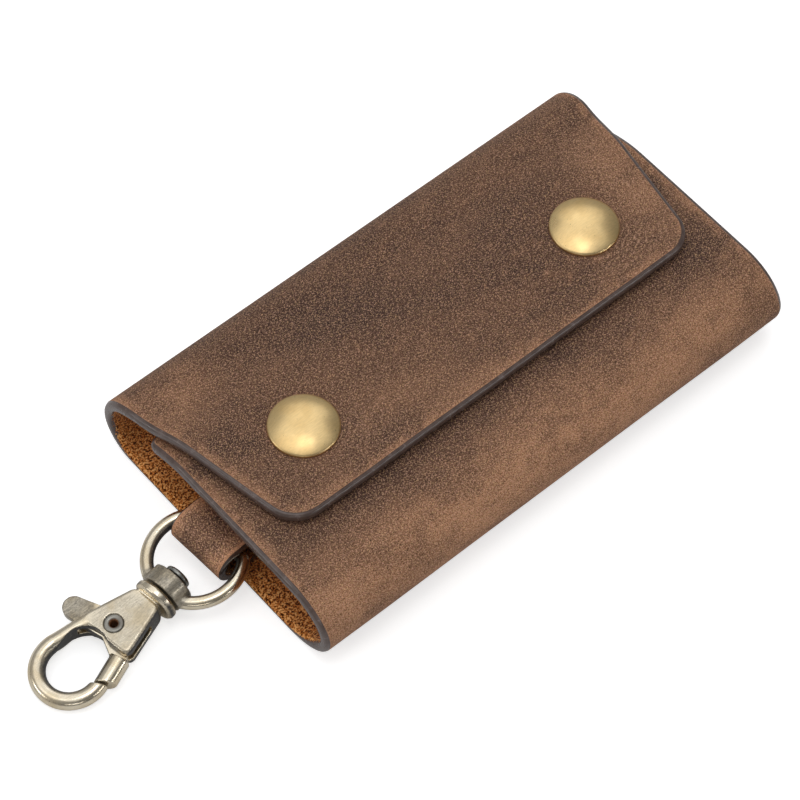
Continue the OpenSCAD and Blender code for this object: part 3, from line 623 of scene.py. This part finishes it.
def metal_finish(name, colour, dull, rough, spot=0.0, brush=0.0, hollow=(0.055, 0.053, 0.053),
                 clouds_at=3.0):
    """Plated metal: a warm bright colour that goes dull in clouds, with small pits and fine brushing. The
    mesh's attribute of patina and shade, where it has one, turns it towards a dark, matte colour: patina or
    rust left in its hollows, and painted shade on inner sides, side walls and undersides."""
    finish, tree, shader = new_finish(name)
    where = millimetres(tree, "place")
    clouds = cloud(tree, where, clouds_at, 3, 0.5, 0.3)
    spots = cloud(tree, where, 0.35, 3, 0.7)
    look = tint(tree, fade(tree, clouds, 0.35, 0.70, 0, 0.6), rgb(*colour), rgb(*dull))
    if spot:
        look = tint(tree, fade(tree, spots, 0.67, 0.74, 0, spot), look, rgb(0.10, 0.065, 0.035))
    lines = cloud(tree, stretched(tree, where, (0.22, 1.5, 1.0)), 0.33, 2, 0.7)
    look = times(tree, look, fade(tree, lines, 0.3, 0.7, 1 - 0.12 * brush, 1 + 0.1 * brush))
    # The attribute read here holds patina in the hollows and painted shade on inner sides, side walls and
    # undersides.
    patina_and_shade_share = step(tree, "ShaderNodeAttribute", {"attribute_name": "hollow"}).outputs["Fac"]
    uneven = sums(tree, "ADD", fade(tree, spots, 0.3, 0.7, -0.12, 0.12),
                  fade(tree, lines, 0.3, 0.7, 0.1, -0.1))
    patina_and_shade_share = fade(tree, sums(tree, "ADD", patina_and_shade_share, sums(tree, "MULTIPLY", uneven, patina_and_shade_share)), 0.12, 1.0)
    look = tint(tree, patina_and_shade_share, look, rgb(*hollow))
    tree.links.new(look, shader.inputs["Base Color"])
    tree.links.new(fade(tree, patina_and_shade_share, 0.2, 1.0, 1.0, 0.4), shader.inputs["Metallic"])
    gloss = fade(tree, clouds, 0.3, 0.7, rough - 0.04, rough + 0.06)
    tree.links.new(sums(tree, "ADD", gloss, sums(tree, "MULTIPLY", patina_and_shade_share, 0.2)), shader.inputs["Roughness"])
    raised(tree, shader, mixed(tree, spots, 0.5, lines, brush), 0.3, 0.04)
    return finish


def finish_nodes(names, finish):
    """Gives solids of the frame that stay as they are a finish."""
    for name in names:
        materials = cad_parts[name].data.materials
        materials.clear()
        materials.append(finish)


cap_brass = metal_finish("cap_brass", (0.87, 0.64, 0.315), (0.74, 0.505, 0.215), 0.31, spot=1.0, brush=0.5,
                         clouds_at=5.0)
works_brass = metal_finish("snap_works", (0.62, 0.55, 0.42), (0.42, 0.36, 0.27), 0.34, spot=0.3)
cap_r = 6.35
cap_h = 1.95
rim_r, rim_h = cap_r - 0.13, 0.48
dome_steps = 24
dome_power = 2.4


def cap_profile():
    """From the curled rim in the leather over the dome to its middle."""
    rows = [(-0.35, cap_r - 1.2), (-0.35, cap_r - 0.45), (-0.2, cap_r - 0.12), (0.05, cap_r),
            (0.3, cap_r - 0.02), (rim_h, rim_r)]
    for i in range(1, dome_steps + 1):
        share = i / dome_steps
        rows.append((rim_h + (cap_h - rim_h) * (1 - (1 - share) ** dome_power), rim_r * (1 - share)))
    return rows


for side, word in ((-1, "left"), (1, "right")):
    cap = turned(word + "_cap", cap_profile(), (side * snap_x, 0, flap_top), (0, 0, 1), cap_brass, 128)
    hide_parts(word + "_snap_cap")
    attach(cap, "flap")
    finish_nodes([word + part for part in ("_snap_socket", "_snap_stud", "_snap_post")], works_brass)

# Strap
# A short strap of the same leather, folded round the bar of the swivel loop. Both ends lie inside the
# case on the back, under one rivet.

strap_t = 1.6
strap_half = 6.3
strap_end_x = -37.0
fold_x, fold_z = -54.2, 6.0
fold_out = 3.8
slope_from_x, slope_to_x = -52.0, -44.7
plies_top = leather_t + 3.25
strap_row = [(strap_end_x, leather_t, 0, -1)]
strap_row += oval_row((fold_x, fold_z), (fold_out, fold_out), -90, -270)
strap_row += [(fold_x, fold_z + fold_out, 0, 1)]
strap_row += bend_row((slope_from_x, fold_z + fold_out), (slope_to_x, plies_top), 0, 180)
strap_row += [(slope_to_x, plies_top, 0, 1), (strap_end_x, plies_top, 0, 1)]
strap_run = Run(strap_row)


def strap_stations():
    """Down one side of the strap, with a small round corner at each end."""
    r = 1.6

    def corner(middle, start):
        turns = [start + pi / 2 * i / 5 for i in range(6)]
        return [(middle + r * sin(a), strap_half - r + r * cos(a), cos(a), sin(a)) for a in turns]

    far = strap_run.length - r
    straight = [(s, strap_half, 1, 0) for s in spread(r, far, 0.4, 0.4, [], 0)[1:-1]]
    return corner(r, -pi / 2) + straight + corner(far, 0)


strap_turn = radians(3.5)


def across_case(y, x, z):
    """Lays a piece out with its width across the strap and its run in X and Z, turned about the rivet."""
    from_rivet = x - strap_rivet_at[0]
    return np.stack([strap_rivet_at[0] + from_rivet * cos(strap_turn) - y * sin(strap_turn),
                     strap_rivet_at[1] + from_rivet * sin(strap_turn) + y * cos(strap_turn), z], 1)


def strap_shape(y, s, x, depth):
    """The strap's slight swell where it folds."""
    return 0.04 * soft_noise(y, s, 4, 1.7)


# The strap's two patches are painted shadow where its top ply goes into the case's mouth; the rub is a
# lighter, rubbed place on its fold.
strap_grain = grain_finish("strap_grain", patches=[((1, 32), (6.5, 5), 1.0), ((5, 27), (3, 6), 0.7)],
                           rubs=[((-5, 24), (4, 7), 0.7)], tone=1.2)
strap_paint = paint_finish("strap_edge", 0.55)
# The strap's flesh side is made dark all over as painted shade in the fold round the loop's bar.
strap_flesh_painted_shade = flesh_finish("strap_flesh_painted_shade", 0.35)
strap_columns = list(np.linspace(-1, 1, 33))
strap = cut_leather("strap", strap_run, strap_stations(), strap_columns, strap_t, across_case, strap_shape,
                    [strap_grain, strap_paint, strap_flesh_painted_shade], closed_start=True, roundness=0.4)
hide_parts("strap_loop")
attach(strap, "case")

# Rivets through the back
# Brass rivets: one with a cap holds both plies of the strap, and two hold the plate of the key rack. They
# are set from the underside, with their heads in shallow seats in the leather.

rivet_brass = metal_finish("rivet_brass", (0.66, 0.55, 0.34), (0.42, 0.34, 0.20), 0.34, spot=0.4)
finish_nodes(["strap_rivet", "strap_rivet_cap", "plate_rivets"], rivet_brass)

# Swivel hook
# Zinc castings plated an antique brass that has gone grey-brown in the hollows, with painted shade on their
# inner sides, side walls and undersides: the loop with its boss, the hook with its two cheeks, and the
# trigger. The castings have soft edges, so each is taken from the solid and rounded.

loop_pin = Vector((-53.1, -1.3595, 6.0))
hook_turn = radians(8.5)
hook_tilt = radians(6.4201)
hook_u = Vector((-cos(hook_turn) * cos(hook_tilt), -sin(hook_turn) * cos(hook_tilt), -sin(hook_tilt)))
hook_v = Vector((sin(hook_turn), -cos(hook_turn), 0))
hook_w = hook_u.cross(hook_v)


def on_hook(u, v, w):
    """A point of the hook's own frame in the row frame, in mm."""
    return loop_pin + hook_u * u + hook_v * v + hook_w * w


def hollow_shares(mesh, middles, dull_and_shaded_spots, shaded_sides):
    """How dark each vertex is made: patina where the polishing missed, and painted shade. Inner sides look
    towards one of the middles, given as (point, reach), and get patina and painted shade. Dull and shaded
    spots are (point, reach, soft edge, share) of whole duller or painted-shade areas, and shaded sides are
    (point, reach, direction, share) of the faces there that look in the direction or against it, darkened as
    painted shade."""
    count = len(mesh.vertices)
    at = np.zeros(count * 3)
    out = np.zeros(count * 3)
    mesh.vertices.foreach_get("co", at)
    mesh.vertices.foreach_get("normal", out)
    at = at.reshape(-1, 3) / MM
    out = out.reshape(-1, 3)
    share = np.zeros(count)
    for middle, reach in middles:
        away = at - np.array(middle)
        far = np.linalg.norm(away, axis=1)
        inward = -(away * out).sum(1) / np.maximum(far, 0.01)
        share = np.maximum(share, np.clip(inward * 1.3 - 0.1, 0, 1) * np.clip((reach - far) / 1.5, 0, 1))
    for point, reach, edge, most in dull_and_shaded_spots:
        far = np.linalg.norm(at - np.array(point), axis=1)
        share = np.maximum(share, most * np.clip((reach - far) / edge, 0, 1))
    for point, reach, way, most in shaded_sides:
        far = np.linalg.norm(at - np.array(point), axis=1)
        facing = np.clip(np.abs((out * np.array(way)).sum(1)) * 2.2 - 0.9, 0, 1)
        share = np.maximum(share, most * facing * np.clip(reach - far, 0, 1))
    return share


def cast_from(name, node, grid, rounds, finish, middles=(), dull_and_shaded_spots=(), shaded_sides=()):
    """A casting: the node's solid rebuilt on a fine grid, in mm, and rubbed smooth in a number of rounds, so
    that its edges are round. Middles, dull and shaded spots and shaded sides say where patina and painted
    shade darken it."""
    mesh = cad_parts[node].data.copy()
    mesh.name = name
    mesh.materials.clear()
    piece = bpy.data.objects.new(name, mesh)
    bpy.context.scene.collection.objects.link(piece)
    remesh = piece.modifiers.new("grid", "REMESH")
    remesh.mode = "VOXEL"
    remesh.voxel_size = grid * MM
    smooth = piece.modifiers.new("rub", "SMOOTH")
    smooth.factor = 0.5
    smooth.iterations = rounds
    bpy.context.view_layer.update()
    done = bpy.data.meshes.new_from_object(piece.evaluated_get(bpy.context.evaluated_depsgraph_get()))
    piece.modifiers.clear()
    piece.data = done
    done.name = name
    done.materials.clear()
    done.materials.append(finish)
    done.polygons.foreach_set("use_smooth", [True] * len(done.polygons))
    shares = hollow_shares(done, middles, dull_and_shaded_spots, shaded_sides)
    done.attributes.new("hollow", "FLOAT", "POINT").data.foreach_set("value", shares.astype(np.float32))
    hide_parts(node)
    return piece


antique = metal_finish("antique_plate", (0.83, 0.745, 0.59), (0.64, 0.51, 0.31), 0.22, spot=1.0, brush=0.4,
                       clouds_at=3.5)
eye_middle = on_hook(31.8, -2.4, 0)
ring_middle = on_hook(5.2, 0, 0)
boss_middle = on_hook(12.1, 0, 0)
pin_u, pin_v = 23.4, -1.6
pad_middle = on_hook(pin_u + 1.9, pin_v - 8.6, 0)
# The inner sides round the ring and the hook's eye are darkened as patina and painted shade; the boss and
# the trigger's pad are a duller grey of their own.
loop = cast_from("loop_casting", "swivel_loop", 0.13, 7, antique, middles=[(ring_middle, 9.5)],
                 dull_and_shaded_spots=[(boss_middle, 5.4, 1.0, 0.62)])
# On the hook, the last spot darkens the bow's underside as painted shade, and the side walls that face
# across the hook are darkened as painted shade.
hook = cast_from("hook_casting", "hook_body", 0.13, 5, antique, middles=[(eye_middle, 8.5)],
                 dull_and_shaded_spots=[(on_hook(16.5, 3.0, 1.5), 5.0, 5.0, 0.5),
                             (on_hook(17.5, 4.2, 0), 3.5, 3.5, 0.5),
                             (on_hook(22.5, 0, 3.0), 9.0, 4.0, 0.42),
                             (on_hook(33.0, -2.4, -3.0), 10.0, 5.0, 0.38)],
                 shaded_sides=[(on_hook(21.5, 0, 0), 8.5, hook_v, 0.95)])
trigger = cast_from("trigger_casting", "trigger", 0.12, 4, antique, middles=[(eye_middle, 8.5)],
                    dull_and_shaded_spots=[(pad_middle, 5.0, 1.0, 0.60)])
for piece, body in ((loop, "loop"), (hook, "hook"), (trigger, "trigger")):
    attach(piece, body)

# Rivets of the hook
# The stem is a steel rivet with a mushroom head inside the loop. The trigger turns on a rolled tube that
# has rusted a little in its hole.

rivet_steel = metal_finish("rivet_steel", (0.36, 0.36, 0.335), (0.20, 0.20, 0.185), 0.27, spot=0.8)
rusty_steel = metal_finish("rusty_steel", (0.30, 0.29, 0.26), (0.14, 0.12, 0.10), 0.36, spot=1.0,
                           hollow=(0.26, 0.115, 0.05))
stem_profile = [(9.0, 0), (9.0, 1.4), (9.06, 1.95), (9.25, 2.3), (9.5, 2.4), (9.85, 2.4), (10.05, 2.3),
                (10.15, 2.0), (10.15, 1.5), (18.4, 1.5), (18.4, 0)]
stem = turned("stem_rivet", stem_profile, loop_pin, hook_u, rivet_steel, 64)
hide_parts("swivel_rivet")
tube_half = [(1.8, 0.7), (2.3, 0.74), (2.46, 0.92), (2.52, 1.2), (2.5, 1.5), (2.42, 1.69), (2.2, 1.68),
             (2.15, 1.35)]
tube_profile = [(-along, radius) for along, radius in reversed(tube_half)] + tube_half
trigger_pin = on_hook(pin_u, pin_v, 0)
tube = turned("trigger_tube", tube_profile + tube_profile[:1], trigger_pin, hook_w, rusty_steel, 48)
from_axis = [(v.co / MM - trigger_pin).cross(hook_w).length for v in tube.data.vertices]
rust_r, rust_edge = 0.95, 0.15
rust = np.clip((rust_r - np.array(from_axis)) / rust_edge, 0, 1).astype(np.float32)
tube.data.attributes.new("hollow", "FLOAT", "POINT").data.foreach_set("value", rust)
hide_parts("trigger_rivet")
for piece in (stem, tube):
    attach(piece, "hook")
finish_nodes(["trigger_spring"], rivet_steel)

# Key rack
# A nickel-plated steel plate with an ear at each end, a rod between the ears, and six wire hooks with
# spring leaves. It sits inside the case on two rivets, and shows only when the case is open.

rack_nickel = metal_finish("rack_nickel", (0.70, 0.68, 0.62), (0.52, 0.50, 0.46), 0.24, spot=0.25)
key_nodes = [word + str(i) for i in range(1, 7) for word in ("key_hook_", "key_gate_")]
finish_nodes(["key_plate", "key_rod"] + key_nodes, rack_nickel)

# Studio
# A white floor, soft lamps above, behind and low on the sides, a soft sky, and the camera at the
# photograph's angle. The camera sees the floor as pure white, and the floor keeps the case's shadow.

floor_mesh = bpy.data.meshes.new("floor")
reach = 3.0
floor_corners = [(-reach, -reach, 0), (reach, -reach, 0), (reach, reach, 0), (-reach, reach, 0)]
floor_mesh.from_pydata(floor_corners, [], [(0, 1, 2, 3)])
floor = bpy.data.objects.new("floor", floor_mesh)
floor.location = (0, 0, -0.05 * MM)
bpy.context.scene.collection.objects.link(floor)
floor_white, tree, shader = new_finish("floor_white")
shader.inputs["Base Color"].default_value = rgb(0.86, 0.86, 0.86)
shader.inputs["Roughness"].default_value = 0.9
shader.inputs["Specular IOR Level"].default_value = 0.0
floor_glow = 0.62
seen = step(tree, "ShaderNodeLightPath").outputs["Is Camera Ray"]
seen_glow = sums(tree, "MULTIPLY", seen, floor_glow)
glow = step(tree, "ShaderNodeEmission", None, Color=rgb(1, 1, 1), Strength=seen_glow)
both = step(tree, "ShaderNodeAddShader", None, i0=shader.outputs[0], i1=glow.outputs[0])
tree.links.new(both.outputs[0], tree.nodes["Material Output"].inputs["Surface"])
floor_mesh.materials.append(floor_white)


def lamp(name, place, size, power, aim=(0, 0, 0.01)):
    """An oblong soft lamp that looks at a point: places and sizes in metres, power in watts."""
    light = bpy.data.lights.new(name, "AREA")
    light.shape = "RECTANGLE"
    light.size, light.size_y = size
    light.energy = power
    lit = bpy.data.objects.new(name, light)
    lit.location = place
    lit.rotation_euler = (Vector(aim) - Vector(place)).to_track_quat("-Z", "Y").to_euler()
    bpy.context.scene.collection.objects.link(lit)


lamp("top_lamp", (0.1, 0.2, 1.1), (1.5, 1.5), 4.0, aim=(0.1, 0.2, 0))
lamp("key_lamp", (-0.5, 0.2, 0.9), (0.4, 0.4), 0.35)
lamp("high_lamp", (-0.07, -0.07, 0.95), (0.3, 0.3), 0.72)
lamp("far_lamp", (0.60, 0.66, 0.72), (1.0, 0.5), 0.85)
lamp("left_strip", (-0.95, 0.4, 0.4), (0.5, 0.12), 1.05)
lamp("front_strip", (0.4, -0.94, 0.42), (0.7, 0.1), 1.3)
lamp("near_strip", (-0.62, -0.7, 0.35), (0.5, 0.1), 0.4)
world = bpy.data.worlds.new("studio_sky")
bpy.context.scene.world = world
world.use_nodes = True
sky = world.node_tree
back = sky.nodes["Background"]
way = step(sky, "ShaderNodeTexCoord").outputs["Generated"]
up = step(sky, "ShaderNodeSeparateXYZ", None, Vector=way).outputs["Z"]
near_side = step(sky, "ShaderNodeVectorMath", {"operation": "DOT_PRODUCT"}, i0=way,
                 i1=(0.25, -0.97, 0)).outputs["Value"]
glare = sums(sky, "MULTIPLY", fade(sky, up, 0.0, 0.9, 0.20, 0.30), fade(sky, near_side, -0.5, 0.7, 1.5, 0.6))
back.inputs["Color"].default_value = rgb(1, 1, 1)
sky.links.new(glare, back.inputs["Strength"])

camera_az, camera_el, camera_roll = radians(-42.34), radians(57.63), radians(1.98)
camera_at = (-0.21253, -0.22183, 0.47815)
focal_pixels, photo_pixels = 3184, 800
away = Vector((sin(camera_az) * cos(camera_el), -cos(camera_az) * cos(camera_el), sin(camera_el)))
right = Vector((0, 0, 1)).cross(away).normalized()
upward = away.cross(right)
right_rolled = right * cos(camera_roll) + upward * sin(camera_roll)
up_rolled = upward * cos(camera_roll) - right * sin(camera_roll)
camera_data = bpy.data.cameras.new("camera")
camera_data.sensor_width = 36
camera_data.lens = focal_pixels / photo_pixels * camera_data.sensor_width
camera = bpy.data.objects.new("camera", camera_data)
turn = Matrix((right_rolled, up_rolled, away)).transposed()
camera.matrix_world = Matrix.Translation(camera_at) @ turn.to_4x4()
bpy.context.scene.collection.objects.link(camera)
bpy.context.scene.camera = camera
bpy.context.scene.view_settings.view_transform = "Standard"
